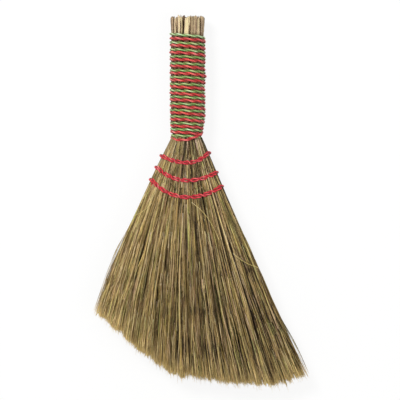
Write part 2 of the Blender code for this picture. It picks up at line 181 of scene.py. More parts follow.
def tube_set(corners, tint, shade, group=None):
    """Closed tubes in the row frame; those of one group share the slow changes of hue."""
    tubes, stations, sides = corners.shape[:3]
    middles = corners.mean(axis=2)
    distance = distance_along(middles)
    share = distance / np.maximum(distance[:, -1:], 1e-9)
    look = np.empty(corners.shape)
    look[..., 0] = spread_out(tint)
    look[..., 1] = share[:, :, None]
    look[..., 2] = spread_out(shade)
    spoke = corners - middles[:, :, None]
    radius = np.linalg.norm(spoke, axis=3)
    angles = np.arange(sides) * tau / sides
    fibre = np.empty(corners.shape)
    group = np.arange(tubes) if group is None else group
    fibre[..., 0] = distance[:, :, None] + group[:, None, None] * GROUP_SHIFT
    fibre[..., 1] = radius * np.cos(angles) + np.arange(tubes)[:, None, None] * TUBE_SHIFT
    fibre[..., 2] = radius * np.sin(angles)
    index = np.arange(tubes * stations * sides).reshape(corners.shape[:3])
    following = np.roll(index, -1, axis=2)
    quads = np.stack([index[:, :-1], index[:, 1:], following[:, 1:], following[:, :-1]], axis=-1)
    caps = np.concatenate([index[:, 0], index[:, -1, ::-1]])
    corners = corners + np.array(ORIGIN)
    return {"corners": corners, "look": look, "fibre": fibre, "quads": quads, "caps": caps}


def strip_places(quads, first_strip, columns, strip_rows):
    """Map corners of the quads: each length of tube fills one upright strip."""
    tubes, stations, sides = quads.shape[:3]
    parts = -(-stations // PART_STATIONS)
    tube, station, side = np.indices(quads.shape[:3])
    strip = first_strip + tube * parts + station // PART_STATIONS
    rise = station % PART_STATIONS
    tallest = min(PART_STATIONS, stations)
    places = np.empty(quads.shape[:3] + (4, 2))
    for corner, (side_step, station_step) in enumerate(((0, 0), (0, 1), (1, 1), (1, 0))):
        inside = SIDE_MARGIN + (1 - 2 * SIDE_MARGIN) * (side + side_step) / sides
        upright = END_MARGIN + (1 - 2 * END_MARGIN) * (rise + station_step) / tallest
        places[..., corner, 0] = (strip % columns + inside) / columns
        places[..., corner, 1] = (strip // columns + upright) / strip_rows
    return places.reshape(-1, 2), first_strip + tubes * parts


def cap_places(caps, strip, columns, strip_rows):
    """Map corners of the ends: small rings near the foot of a strip."""
    spot = np.array([[(strip % columns + 1 / 2) / columns, (strip // columns + CAP_MARGIN) / strip_rows]])
    around = np.arange(caps.shape[1]) * tau / caps.shape[1]
    ring = np.stack([np.cos(around), np.sin(around)], axis=1) * CAP_SIZE / columns
    return np.tile(spot + ring, (len(caps), 1))


def joined(sets, part):
    """One part of all sets, as numbers for a mesh."""
    return np.concatenate([tubes[part].ravel() for tubes in sets]).astype(np.float32)


def build_mesh(name, sets):
    """One mesh from sets of tubes, with its map."""
    strips = sum(s["quads"].shape[0] * -(-s["quads"].shape[1] // PART_STATIONS) for s in sets)
    columns = max(1, int(sqrt(strips) * STRIPS_TO_HEIGHT))
    strip_rows = -(-strips // columns)
    loops, starts, places = [], [], []
    first, first_loop, strip = 0, 0, 0
    for tubes in sets:
        quads = tubes["quads"].reshape(-1, 4) + first
        caps = tubes["caps"] + first
        spread, next_strip = strip_places(tubes["quads"], strip, columns, strip_rows)
        places += [spread, cap_places(caps, strip, columns, strip_rows)]
        for faces in (quads, caps):
            loops.append(faces.ravel())
            starts.append(first_loop + np.arange(len(faces)) * faces.shape[1])
            first_loop += faces.size
        first += tubes["corners"].size // 3
        strip = next_strip
    loops = np.concatenate(loops)
    starts = np.concatenate(starts)
    mesh = bpy.data.meshes.new(name)
    mesh.vertices.add(first)
    mesh.vertices.foreach_set("co", joined(sets, "corners"))
    mesh.loops.add(len(loops))
    mesh.loops.foreach_set("vertex_index", loops.astype(np.int32))
    mesh.polygons.add(len(starts))
    mesh.polygons.foreach_set("loop_start", starts.astype(np.int32))
    mesh.update(calc_edges=True)
    for title in ("look", "fibre"):
        attribute = mesh.attributes.new(title, "FLOAT_VECTOR", "POINT")
        attribute.data.foreach_set("vector", joined(sets, title))
    layer = mesh.uv_layers.new(name=MAP_NAME)
    layer.uv.foreach_set("vector", np.concatenate(places).astype(np.float32).ravel())
    mesh.shade_smooth()
    return mesh


def add_object(name, data):
    made = bpy.data.objects.new(name, data)
    bpy.context.scene.collection.objects.link(made)
    return made


def add_piece(name, sets, material, node):
    """A piece that takes the place of a node of the model."""
    piece = add_object(name, build_mesh(name, sets))
    piece.data.materials.append(material)
    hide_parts(node)
    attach(piece, "root")


# Materials

LEAST_ROUGHNESS = 0.5
# Strength and depth of the bumps
GRASS_BUMP = (0.35, 0.0002)
CORD_BUMP = (0.5, 0.0003)


def set_inputs(tree, node, inputs):
    """Link inputs to sockets, or set them to values."""
    for name, value in inputs.items():
        if isinstance(value, bpy.types.NodeSocket):
            tree.links.new(value, node.inputs[name])
        else:
            node.inputs[name].default_value = value


def add_node(tree, kind, inputs=(), **settings):
    made = tree.nodes.new("ShaderNode" + kind)
    for name, value in settings.items():
        setattr(made, name, value)
    set_inputs(tree, made, dict(inputs))
    return made


def maths(tree, operation, first, second):
    return add_node(tree, "Math", {0: first, 1: second}, operation=operation).outputs[0]


def mix(tree, factor, first, second, blend="MIX"):
    inputs = {0: factor, 6: first, 7: second}
    return add_node(tree, "Mix", inputs, data_type="RGBA", blend_type=blend).outputs[2]


def add_ramp(tree, factor, stops):
    made = add_node(tree, "ValToRGB", {"Fac": factor})
    elements = made.color_ramp.elements
    while len(elements) < len(stops):
        elements.new(0.5)
    for element, (place, colour) in zip(elements, stops):
        element.position = place
        element.color = colour
    return made.outputs["Color"]


def new_material(name):
    material = bpy.data.materials.new(name)
    material.use_nodes = True
    return material, material.node_tree, material.node_tree.nodes["Principled BSDF"]


def new_surface(name):
    """A material with what its tubes carry: tint, share along, shade and fibre."""
    material, tree, shader = new_material(name)
    look, fibre = (add_node(tree, "Attribute", attribute_name=title).outputs["Vector"]
                   for title in ("look", "fibre"))
    return material, tree, shader, add_node(tree, "SeparateXYZ", {0: look}).outputs, fibre


def noise(tree, place, scale, detail):
    made = add_node(tree, "TexNoise", {"Vector": place, "Scale": scale, "Detail": detail})
    return made.outputs["Fac"]


def fibre_noise(tree, fibre, along, around, detail=1.0):
    """Streaks along the fibres; along and around are repeats to the metre."""
    scales = (along, around, around)
    stretched = add_node(tree, "VectorMath", {0: fibre, 1: scales}, operation="MULTIPLY")
    return noise(tree, stretched.outputs[0], 1.0, detail)


def vary(tree, value, noises):
    """The value, moved up and down by each noise with its strength."""
    for change, strength in noises:
        step = maths(tree, "MULTIPLY", maths(tree, "SUBTRACT", change, 0.5), strength)
        value = maths(tree, "ADD", value, step)
    return value


def finish_surface(tree, shader, colour, relief, unevenness, bump, specular):
    """Colour, with roughness and bumps that follow a relief."""
    rough = maths(tree, "ADD", maths(tree, "MULTIPLY", relief, unevenness), LEAST_ROUGHNESS)
    bumps = add_node(tree, "Bump", {"Height": relief, "Strength": bump[0], "Distance": bump[1]})
    set_inputs(tree, shader, {"Base Color": colour, "Roughness": rough, "Normal": bumps.outputs[0],
                              "Specular IOR Level": specular})


def grass_material(name, stops, shadow, tip_glow, tip_start, hue_strength):
    """Dry grass: tint picks the hue, and streaks, patches and tips vary it."""
    material, tree, shader, (tint, along, shade), fibre = new_surface(name)
    streaks = fibre_noise(tree, fibre, 100, 2600, 3.0)
    flecks = fibre_noise(tree, fibre, 400, 2600)
    patches = noise(tree, add_node(tree, "TexCoord").outputs["Object"], 45, 2.0)
    varied = vary(tree, tint, ((streaks, 0.6), (flecks, 0.7), (patches, 0.25)))
    colour = add_ramp(tree, varied, stops)
    for scales in ((11, 0), (20, 700)):
        hue = add_ramp(tree, fibre_noise(tree, fibre, *scales), HUE_STOPS)
        colour = mix(tree, hue_strength, colour, hue, "MULTIPLY")
    handled = add_node(tree, "MapRange", {"Value": along, "From Max": GREY_SHARE})
    greyed = mix(tree, 1.0, colour, GREYING, "MULTIPLY")
    colour = mix(tree, handled.outputs[0], greyed, colour)
    tips = add_node(tree, "MapRange", {"Value": along, "From Min": tip_start})
    colour = mix(tree, tips.outputs[0], colour, tip_glow, "ADD")
    # Painted shade: the shade the tubes carry darkens the colour towards the shadow colour
    colour = mix(tree, shade, shadow, colour)
    finish_surface(tree, shader, colour, streaks, 0.25, GRASS_BUMP, 0.3)
    return material


def cord_material(name, stops, shadow):
    """Yarn: fine fibres along each ply, with lighter and darker stretches."""
    material, tree, shader, (tint, _, shade), fibre = new_surface(name)
    fibres = fibre_noise(tree, fibre, 260, 5200, 4.0)
    stretches = fibre_noise(tree, fibre, 90, 120)
    colour = add_ramp(tree, vary(tree, tint, ((fibres, 1.2), (stretches, 0.9))), stops)
    faded = add_ramp(tree, fibre_noise(tree, fibre, 70, 500), FADED_STOPS)
    colour = mix(tree, 1.0, colour, faded, "MULTIPLY")
    # Painted shade: the shade the tubes carry darkens the colour towards the shadow colour
    colour = mix(tree, shade, shadow, colour)
    finish_surface(tree, shader, colour, fibres, 0.3, CORD_BUMP, 0.35)
    shader.inputs["Sheen Weight"].default_value = 0.15
    return material


BRISTLE_STOPS = linear_stops(
    (0, 44, 34, 17), (0.18, 84, 70, 40), (0.36, 120, 104, 66), (0.54, 144, 126, 85),
    (0.68, 158, 139, 98), (0.82, 182, 164, 118), (1, 212, 196, 148))
BRISTLE_SHADOW = linear(30, 21, 9)
HUE_STOPS = ((0.37, (0.88, 1.02, 0.76, 1)), (0.45, (1.1, 0.98, 0.78, 1)), (0.53, (1, 1, 1, 1)),
             (0.62, (0.98, 0.86, 0.92, 1)))
FADED_STOPS = ((0.38, (1.06, 0.94, 0.8, 1)), (0.5, (1, 1, 1, 1)), (0.62, (0.9, 0.98, 1.04, 1)))
# Added near the bristle tips: their paler golden colour, with painted light that lifts them out of shade
BRISTLE_TIP = linear(188, 167, 116)
GREYING = (1.03, 1.1, 1.46, 1)
GREY_SHARE = 0.2
STALK_STOPS = linear_stops(
    (0, 58, 46, 32), (0.2, 104, 92, 70), (0.4, 146, 128, 100), (0.6, 186, 165, 134),
    (0.8, 206, 190, 154), (1, 216, 202, 160))
STALK_SHADOW = linear(80, 44, 16)
STALK_TIP = linear(150, 134, 114)
RED_STOPS = linear_stops(
    (0, 116, 14, 14), (0.35, 184, 38, 36), (0.65, 218, 74, 74), (1, 242, 152, 142))
GREEN_STOPS = linear_stops(
    (0, 52, 82, 26), (0.35, 101, 143, 64), (0.65, 150, 188, 115), (1, 218, 231, 188))
SEWING_STOPS = linear_stops(
    (0, 132, 14, 30), (0.35, 196, 36, 52), (0.65, 224, 60, 72), (1, 246, 132, 128))
RED_SHADOW = linear(84, 15, 9)
GREEN_SHADOW = linear(72, 48, 16)


# Fan of the bristles

def fan_angle(place):
    """The ray at a place across the fan, where 0 is its left edge and 7 its right."""
    return -LEFT_ANGLE + (LEFT_ANGLE + RIGHT_ANGLE) * place / TUFT_COUNT


def edge_share(place):
    """How far out a place lies: 0 in the middle of the fan and 1 at its edge."""
    angle = fan_angle(place)
    return np.clip(np.where(angle < 0, -angle / LEFT_ANGLE, angle / RIGHT_ANGLE), 0, EDGE_LIMIT)


def row_distance(row, place):
    """Distance from the neck to a sewn row, along the ray."""
    angle = fan_angle(place)
    rise = np.where(angle < 0, ROW_LEFT_RISES[row], ROW_RIGHT_RISES[row])
    reach = APEX + ROW_DISTANCES[row] - rise * edge_share(place) ** 2
    return reach - APEX / np.cos(angle)


def fan_line(place, share):
    """Where the bristles at a place pass at a share of their length, in plan."""
    along = place / TUFT_COUNT
    start_x = blend(START_X, along)
    tuft_edges = range(TUFT_COUNT + 1)
    end_x = np.interp(place, tuft_edges, CUT_X)
    end_y = np.interp(place, tuft_edges, CUT_Y)
    end_x = end_x + np.minimum(place, 0) * (CUT_X[1] - CUT_X[0])
    end_x = end_x + np.maximum(place - TUFT_COUNT, 0) * (CUT_X[-1] - CUT_X[-2])
    start_angle = blend(START_ANGLES, along)
    end_angle = blend(END_ANGLES, along)
    length = np.hypot(end_x - start_x, end_y - START_RISE)
    leave = share ** 3 - 2 * share ** 2 + share
    arrive = share ** 3 - share ** 2
    last = 3 * share ** 2 - 2 * share ** 3
    x = blend((start_x, end_x), last)
    x = x + length * (leave * np.sin(start_angle) + arrive * np.sin(end_angle))
    y = blend((START_RISE, end_y), last)
    y = y - length * (leave * np.cos(start_angle) + arrive * np.cos(end_angle))
    return x, y, length


def row_course(place, distance, length):
    """0 at the neck, 1, 2 and 3 at the sewn rows and 4 at the tips."""
    rows = [row_distance(row, place) for row in range(ROW_COUNT)]
    stops = [0 * place, *rows, length - START_RISE]
    course = np.zeros(np.broadcast(place, distance).shape)
    for low, high in zip(stops, stops[1:]):
        course = course + np.clip((distance - low) / (high - low), 0, 1)
    return course


def core_depth(course):
    """Half of the fan's depth in its middle."""
    depth = np.interp(course, range(ROW_COUNT + 1), (NECK_DEPTH, *ROW_DEPTHS))
    bulge = BULGE_DEPTH * np.abs(np.sin(pi * np.minimum(course, ROW_COUNT)))
    loose = np.clip(course - ROW_COUNT, 0, 1)
    return depth + bulge + (TIP_DEPTH - ROW_DEPTHS[-1]) * (1 - (1 - loose) ** LOOSE_SWELLING)


def surface_depth(place, course, upper):
    """Height of the fan's surfaces over its middle plane, both as positive depths."""
    end = np.where(upper, TOP_EDGE_SHARE, UNDER_EDGE_SHARE)
    edge = NECK_EDGE_SHARE + (end - NECK_EDGE_SHARE) * course / (ROW_COUNT + 1)
    share = 1 - (1 - edge) * edge_share(place) ** EDGE_ROUNDING
    return core_depth(course) * share


# Bristles

# How far the rows draw the bristles away from each side of the tufts, in tufts
PINCHES = (0.02, 0.03, 0.07, 0.02, 0.05, 0.09, 0.03, 0.02)
SEAM_DEPTH_SHARE = 0.12
# How tightly a row holds the bristles, and how far below the last one
ROW_HOLD = 0.75
HOLD_LENGTH = 0.22
# How clumps tighten along the bristles, and open at the tips
TIGHT_WAVES = 4.5
TIP_SPREAD = 0.45
CLUMP_DEPTH_SHARE = 0.17
SLOW_SWAY = 0.0009
SLOW_HEAVE = 0.00054
QUICK_SWAY = 0.00028
QUICK_HEAVE = 0.00065
LEFT_LOOSE_PLACE = 0.3
RIGHT_LOOSE_PLACE = 0.12
LOCK_COUNT = 28
# Dark partings, gaps between clumps darkened by painted shade: place across the fan, and where along the
# bristles they open
PARTINGS = ((0.79, 0.5, 0.86), (1.33, 0.44, 0.62), (2.42, 0.66, 0.96), (3.63, 0.84, 0.97),
            (4.05, 0.5, 0.9), (4.7, 0.5, 0.95), (4.86, 0.56, 0.86), (5.0, 0.24, 0.38),
            (5.18, 0.5, 0.76), (5.3, 0.76, 0.98), (5.57, 0.54, 0.92), (6.02, 0.48, 0.62),
            (6.41, 0.52, 0.92))
PARTING_HALF_WIDTH = 0.03
PARTING_REACH = 0.05
# How far a parting sinks the bristles beside it, which also darkens their painted shade
PARTING_DEPTH_SHARE = 0.15
PARTING_FADE = 0.08
TUFT_TINTS = (0.23, 0.16, 0.06, -0.03, -0.05, -0.08, -0.05)
MIDDLE_TINT = 0.45
TINT_SPREADS = (0.68, 0.66, 0.74, 0.9, 1.0, 1.0, 1.0)
CLUMP_TINT_SHARE = 0.14
OWN_TINT_SHARE = 0.82
MOST_CLUMPS = 20
NECK_SHADE = 0.85
DEEPEST_SHADE = 0.1
SPRING_LEAST = 0.65
QUICK_WAVES = (8, 14)
DEPTH_WANDER = 0.04
THICKNESS_RANGE = (0.7, 1.3)
TIP_SIZE_SHARE = 0.4


def make_clumps(draw, count):
    """Clumps that the bristles of a tuft gather in."""
    return {
        "place": (np.arange(count) + draw.uniform(0.15, 0.85, count)) / count,
        "width": 1 / count,
        "tint": draw.uniform(0, 1, count),
        "ragged": draw.normal(0, 0.006, count),
        "locks": draw.normal(0, 0.005, LOCK_COUNT),
        "pull": 0.06 + 0.36 * draw.uniform(0, 1, count) ** 2,
        "deep": 0.35 + 0.65 * draw.uniform(0, 1, count) ** 2,
        "tight": draw.uniform(0.3, 1.0, count),
        "drift": draw.uniform(-1, 1, count) * 0.35 / count,
        "phase": draw.uniform(0, tau, count),
        "waves": draw.uniform(2, 4, count),
    }


def spread_places(draw, count, clumps):
    """Places across a tuft, with the nearest clump of each."""
    places = (draw.permutation(count) + draw.uniform(0, 1, count)) / count
    nearest = np.abs(places[:, None] - clumps["place"][None, :]).argmin(axis=1)
    return places[:, None], nearest


def both_faces(draw, count, low, high):
    """Layers near the front and back of the fan."""
    return draw.uniform(low, high, count) * np.where(np.arange(count) % 2 == 0, 1, -1)


def binding(course):
    """How tightly the rows hold the bristles: 1 at a row, less between and below."""
    near = np.abs(np.cos(pi * np.minimum(course, ROW_COUNT))) ** 1.5
    below = np.clip(1 - (course - ROW_COUNT) / HOLD_LENGTH, 0, 1)
    held = np.where(course > ROW_COUNT, below, near) * smooth(0.25, 0.9, course) * ROW_HOLD
    return held + (1 - ROW_HOLD) * (course < ROW_COUNT + 0.1) * smooth(0, 0.4, course)


def gathered(place, clumps, nearest, share, hold):
    """Places across the tuft once clumps have drawn their bristles in, as far as hold says."""
    centre, tightest, pull, drift = (clumps[value][nearest][:, None]
                                     for value in ("place", "tight", "pull", "drift"))
    offset = place - centre
    tight = np.cos((share - tightest) * TIGHT_WAVES) / 2 + 1 / 2
    pull = pull * (1 + tight) / 2 * smooth(0.2, 0.5, share)
    pull = pull * (1 - TIP_SPREAD * smooth(0.8, 1.0, share))
    drift = drift * smooth(0.25, 0.8, share)
    return centre + drift * hold + offset * (1 - pull * hold), np.abs(offset) / clumps["width"] * 2


def partings(place, share):
    """How near the bristles run to a parting, and how far it pushes them aside."""
    near, push = 0 * place, 0 * place
    for middle, low, high in PARTINGS:
        offset = place - middle
        side = np.sign(offset.mean(axis=1, keepdims=True))
        opened = smooth(low, low + PARTING_FADE, share) * (1 - smooth(high - PARTING_FADE, high, share))
        kept_off = side * np.hypot(np.clip(side * offset, 0, None), PARTING_HALF_WIDTH)
        close = opened * np.exp(-(offset / PARTING_REACH) ** 2)
        near = np.maximum(near, close)
        push = push + (kept_off - offset) * opened * (np.abs(offset) < 3 * PARTING_REACH)
    return near, push


def straw_ends(draw, clumps, nearest, place, end, ragged):
    """Share of the length where the bristles end, cut in small locks."""
    lock = np.floor(place * LOCK_COUNT).astype(int) % LOCK_COUNT
    ends = end + clumps["ragged"][nearest][:, None] + clumps["locks"][lock]
    return ends - draw.exponential(ragged, place.shape)


def straw_shade(place, share, depth):
    """How light the bristles are: dark inside the fan, and less light at the neck."""
    lit = smooth(0.6, 0.96, np.abs(depth))
    lit = np.maximum(lit, smooth(0.9, 1.0, edge_share(place)) * 0.9)
    lit = np.maximum(lit, smooth(0.86, 0.99, share))
    lit = lit * (NECK_SHADE + (1 - NECK_SHADE) * smooth(0.0, 0.4, share))
    return DEEPEST_SHADE + (1 - DEEPEST_SHADE) * lit


def pinched(tuft, inside, side, share, held):
    """Places across the tuft once the rows have drawn the bristles in from both sides."""
    inside = side + (inside - side) * smooth(0.15, 0.75, share)
    return inside + held * (PINCHES[tuft] * (1 - side) ** 2 - PINCHES[tuft + 1] * side ** 2)


def sway_angles(draw, clumps, nearest, share):
    """Where the bristles are on their slow and quick waves."""
    shape = (len(nearest), 1)
    phase = clumps["phase"][nearest][:, None] + draw.normal(0, 0.5, shape)
    waves = clumps["waves"][nearest][:, None] + draw.normal(0, 0.2, shape)
    quick = draw.uniform(0, tau, shape) + draw.uniform(*QUICK_WAVES, shape) * share * pi
    return phase + waves * share * pi, quick


def groove_share(clumps, nearest, place, share, from_middle, near):
    """Share of the depth that grooves between clumps and partings take away, in the shape and in the
    painted shade.
    """
    groove = clumps["deep"][nearest][:, None] * smooth(0.1, 0.5, share)
    groove = groove * CLUMP_DEPTH_SHARE * (0.5 + 0.5 * smooth(0.5, 3.5, place))
    return groove * np.clip(from_middle, 0, EDGE_LIMIT) ** 4 + PARTING_DEPTH_SHARE * near


def straws(draw, tuft, clumps, count, start, layers, radii, sides, stations, wander,
           ragged=0.01, tints=(-0.1, 1.1), sway=1.0, end=1.004, across=(0.0, 1.0), reach=None,
           stand_off=(0.0, 0.0, 1.0)):
    """Bristles of one kind in a tuft.

    start and reach are ranges of shares of the length, for where they begin and how far they
    run. layers is their depth as a share of the fan's, and stand_off how far they spring
    aside, and where along them.
    """
    shape = (count, 1)
    place, nearest = spread_places(draw, count, clumps)
    place = across[0] + (across[1] - across[0]) * place
    begin = draw.uniform(*start, shape)
    row = np.linspace(0, 1, stations)[None, :]
    lean = draw.normal(0, wander, shape)
    bend = draw.uniform(0, 0.5, shape)
    ends = straw_ends(draw, clumps, nearest, place + lean * (1 - bend), end, ragged)
    if reach:
        ends = np.minimum(ends, begin + draw.uniform(*reach, shape))
    share = begin + (ends - begin) * row
    inside = place + lean * (row - bend)
    outer = smooth(0.4, 0.8, np.abs(layers))[:, None]
    inside, from_middle = gathered(inside, clumps, nearest, share, outer)
    _, _, length = fan_line(tuft + inside, share)
    course = row_course(tuft + inside, share * length - START_RISE, length)
    held = binding(course)
    side = np.clip(inside, 0, 1)
    inside = pinched(tuft, inside, side, share, outer * held)
    near, push = partings(tuft + inside, share)
    place = np.clip(tuft + inside + push * outer, -LEFT_LOOSE_PLACE, TUFT_COUNT + RIGHT_LOOSE_PLACE)
    x, y, _ = fan_line(place, share)
    slow, quick = sway_angles(draw, clumps, nearest, share)
    loose = smooth(0.15, 0.7, share) * (1 - 0.7 * near) * sway
    x = x + (SLOW_SWAY * np.sin(slow) + QUICK_SWAY * np.sin(quick)) * loose
    spring = SPRING_LEAST + (1 - SPRING_LEAST) * (begin - start[0]) / (start[1] - start[0])
    x = x + stand_off[0] * spring * smooth(*stand_off[1:], share)
    depth = layers[:, None] + draw.normal(0, DEPTH_WANDER, shape) * row
    seam = SEAM_DEPTH_SHARE * np.abs(2 * side - 1) ** 4 * held
    groove = groove_share(clumps, nearest, place, share, from_middle, near)
    z = depth * surface_depth(place, course, depth > 0) * (1 - seam - groove)
    z = z + (SLOW_HEAVE * np.cos(slow) + QUICK_HEAVE * np.cos(quick * 0.9)) * loose
    size = blend(radii, row) * draw.uniform(*THICKNESS_RANGE, shape)
    size[:, -1] *= TIP_SIZE_SHARE
    centres = np.stack([x, y, np.clip(z, size + LOWEST, CEILING - size)], axis=2)
    # Painted shade: darker deep inside the fan, in grooves and partings and near the neck; painted light
    # at the edges and tips
    shade = straw_shade(place, share, depth * (1 - groove - seam))
    own = MIDDLE_TINT + (draw.uniform(*tints, count) - MIDDLE_TINT) * TINT_SPREADS[tuft]
    tint = CLUMP_TINT_SHARE * clumps["tint"][nearest] + OWN_TINT_SHARE * own + TUFT_TINTS[tuft]
    return tube_set(rings(centres, size, sides), tint, shade, nearest + MOST_CLUMPS * tuft)


# Pale bristles that have sprung out and cross the front, by tuft
STRAYS = {
    1: ((-0.0395, -0.069, 0.0122), (-0.044, -0.0755, 0.0124), (-0.05, -0.08, 0.0118),
        (-0.06, -0.0835, 0.01)),
    4: ((0.0045, -0.068, 0.015), (0.013, -0.073, 0.0166), (0.0225, -0.0825, 0.0174),
        (0.029, -0.095, 0.0176), (0.0345, -0.1085, 0.0172)),
    6: ((0.05, -0.124, 0.0168), (0.057, -0.131, 0.0168), (0.066, -0.1375, 0.016),
        (0.077, -0.1395, 0.015)),
}
STRAY_RADII = (0.0003, 0.00018)


def stray(points):
    path = smoothed_path(points, ROW_STEP)[None]
    radii = np.linspace(*STRAY_RADII, path.shape[1])[None]
    return tube_set(rings(path, radii, 4), 1.1, 1.0)


INNER_COUNT = 360
# Kinds of bristles: count, start, range of depths, radii, sides, stations, wander and looks
BRISTLE_KINDS = (
    # Stout stems
    (8, (0.0, 0.002), (0.93, 1.0), (0.00085, 0.0004), 6, 22, 0.0, {"sway": 0.7}),
    # Thin stems
    (70, (0.0, 0.03), (0.8, 1.0), (0.00056, 0.00034), 5, 18, 0.04, {"tints": (-0.4, 1.1)}),
    # Fine, from below the neck
    (330, (0.01, 0.22), (0.76, 1.0), (0.00046, 0.00034), 3, 20, 0.09, {"tints": (-0.26, 1.3)}),
    # Inside the fan
    (INNER_COUNT, (0.0, 0.3), None, (0.0007, 0.0006), 3, 9, 0.18, {}),
    # Fine, from among the rows
    (360, (0.28, 0.75), (0.82, 1.02), (0.00038, 0.00028), 3, 10, 0.11,
     {"tints": (-0.26, 1.3), "end": 1.008}),
    # Hairs at the tips
    (80, (0.78, 0.92), (0.55, 1.0), (0.00032, 0.00016), 3, 6, 0.1,
     {"ragged": 0.018, "tints": (0.6, 1.2), "end": 1.026}),
    # Short pieces among the rows
    (120, (0.0, 0.3), (0.97, 1.03), (0.0004, 0.00022), 3, 5, 0.1,
     {"tints": (-0.5, 1.3), "reach": (0.05, 0.16)}),
    # Pale pieces on top
    (170, (0.1, 0.94), (0.97, 1.04), (0.00034, 0.0002), 3, 7, 0.12,
     {"tints": (0.6, 1.05), "reach": (0.06, 0.3)}),
    # Dark pieces on top
    (120, (0.1, 0.9), (0.96, 1.02), (0.00034, 0.0002), 3, 9, 0.05,
     {"tints": (-0.4, 0.1), "reach": (0.2, 0.6)}),
    # Crossing bristles
    (8, (0.1, 0.55), (1.02, 1.05), (0.00032, 0.0002), 4, 14, 0.5, {"ragged": 0.1, "tints": (0.9, 1.4)}),
)
# At the edges of the fan: the same with one depth, and the looks of both edges last
EDGE_KINDS = (
    # Loose ends
    (90, (0.15, 0.7), 0.9, (0.00036, 0.00022), 3, 14, 0.05, {"ragged": 0.05, "tints": (0.5, 1.2)},
     ({"across": (-0.03, 0.1)}, {"across": (0.92, 1.08)})),
    # Long wisps
    (5, (0.48, 0.54), 0.6, (0.00022, 0.00016), 4, 14, 0.01,
     {"ragged": 0.02, "tints": (0.2, 0.8), "sway": 0.4},
     ({"across": (-0.13, -0.08), "stand_off": (-0.0036, 0.5, 0.66)},
      {"across": (0.96, 1.0), "stand_off": (0.008, 0.62, 0.94)})),
    # The closed side
    (90, (0.0, 0.03), 0.95, (0.0006, 0.00034), 4, 14, 0.03, {},
     ({"across": (0.0, 0.16)}, {"across": (0.84, 1.0)})),
)


def edge_straws(draw, tuft, clumps):
    sets = []
    for count, start, depth, radii, sides, stations, wander, looks, edges in EDGE_KINDS:
        layers = draw.uniform(-depth, depth, count)
        sets.append(straws(draw, tuft, clumps, count, start, layers, radii, sides, stations, wander,
                           **looks, **edges[0 if tuft == 0 else 1]))
    return sets


def tuft_sets(draw, tuft):
    clumps = make_clumps(draw, 6 + tuft % 3)
    inner = draw.uniform(-0.85, 0.85, INNER_COUNT)
    sets = []
    for count, start, depth, radii, sides, stations, wander, looks in BRISTLE_KINDS:
        layers = both_faces(draw, count, *depth) if depth else inner
        sets.append(straws(draw, tuft, clumps, count, start, layers, radii, sides, stations, wander,
                           **looks))
    if tuft in STRAYS:
        sets.append(stray(STRAYS[tuft]))
    if tuft in (0, TUFT_COUNT - 1):
        sets += edge_straws(draw, tuft, clumps)
    return sets


def add_tufts():
    material = grass_material("bristle_grass", BRISTLE_STOPS, BRISTLE_SHADOW, BRISTLE_TIP, 0.9, 1.0)
    for tuft in range(TUFT_COUNT):
        draw = np.random.default_rng(SEED + tuft)
        name = f"bristle_tuft_{tuft + 1}"
        add_piece(f"{name}_bristles", tuft_sets(draw, tuft), material, name)


# Twisted cords

def smoothed_path(points, step):
    """An even path through the points, with its corners rounded."""
    points = np.asarray(points, float)
    for _ in range(2):
        middle = (points[:-2] + 2 * points[1:-1] + points[2:]) / 4
        points = np.concatenate([points[:1], middle, points[-1:]])
    distance = distance_along(points)
    count = max(4, int(distance[-1] / step))
    return between(np.linspace(0, distance[-1], count), distance, points)


PLY_SHARE = 0.6
# How far the tint rises along each ply's crest: a painted highlight
CREST_HIGHLIGHT = 0.3
FIBRE_RADIUS = 0.00006
FIBRE_TINT = 0.8


def plies(path, outward, cord_radius, lay, sides, tint, draw, phase=0.0):
    """Two plies twisted round a path, with painted shade in the groove between them and on the side
    towards what they lie on, and a painted highlight along each crest.

    outward points away from what they lie on.
    """
    course = unit(np.gradient(path, axis=0))
    outward = unit(outward - course * (outward * course).sum(axis=1, keepdims=True))
    beside = np.cross(course, outward)
    distance = distance_along(path)
    uneven = 0.7 * np.sin(distance / lay * 0.9 + draw.uniform(0, 6))
    turn = phase + distance * tau / lay + uneven
    offset = cord_radius * (1 - PLY_SHARE)
    angle = (turn + np.array([[0], [pi]]))[..., None]
    centres = path + offset * (np.cos(angle) * outward + np.sin(angle) * beside)
    thick = 1 + 0.06 * np.sin(distance * 700 + draw.uniform(0, 6))
    radii = np.broadcast_to(cord_radius * PLY_SHARE * thick, (2, len(path)))
    corners = rings(centres, radii, sides, facing=outward)
    spoke = corners - path[None, :, None]
    from_axis = np.linalg.norm(spoke, axis=3) / cord_radius
    towards = (spoke * outward[None, :, None]).sum(axis=3) / cord_radius
    # Painted shade: darker in the groove between the plies and on the side towards what the cord lies on
    shade = (0.25 + 0.75 * smooth(0.42, 1.0, from_axis)) * (0.15 + 0.85 * smooth(-0.5, 0.6, towards))
    tints = np.broadcast_to(tint, len(path)) + np.array([[0], [0.1]])
    # Painted highlight: the tint rises along the crest of each ply, on the side away from what it lies on
    tints = tints[:, :, None] + CREST_HIGHLIGHT * (smooth(0.4, 1.0, towards) - 0.4)
    return tube_set(corners, tints, shade)


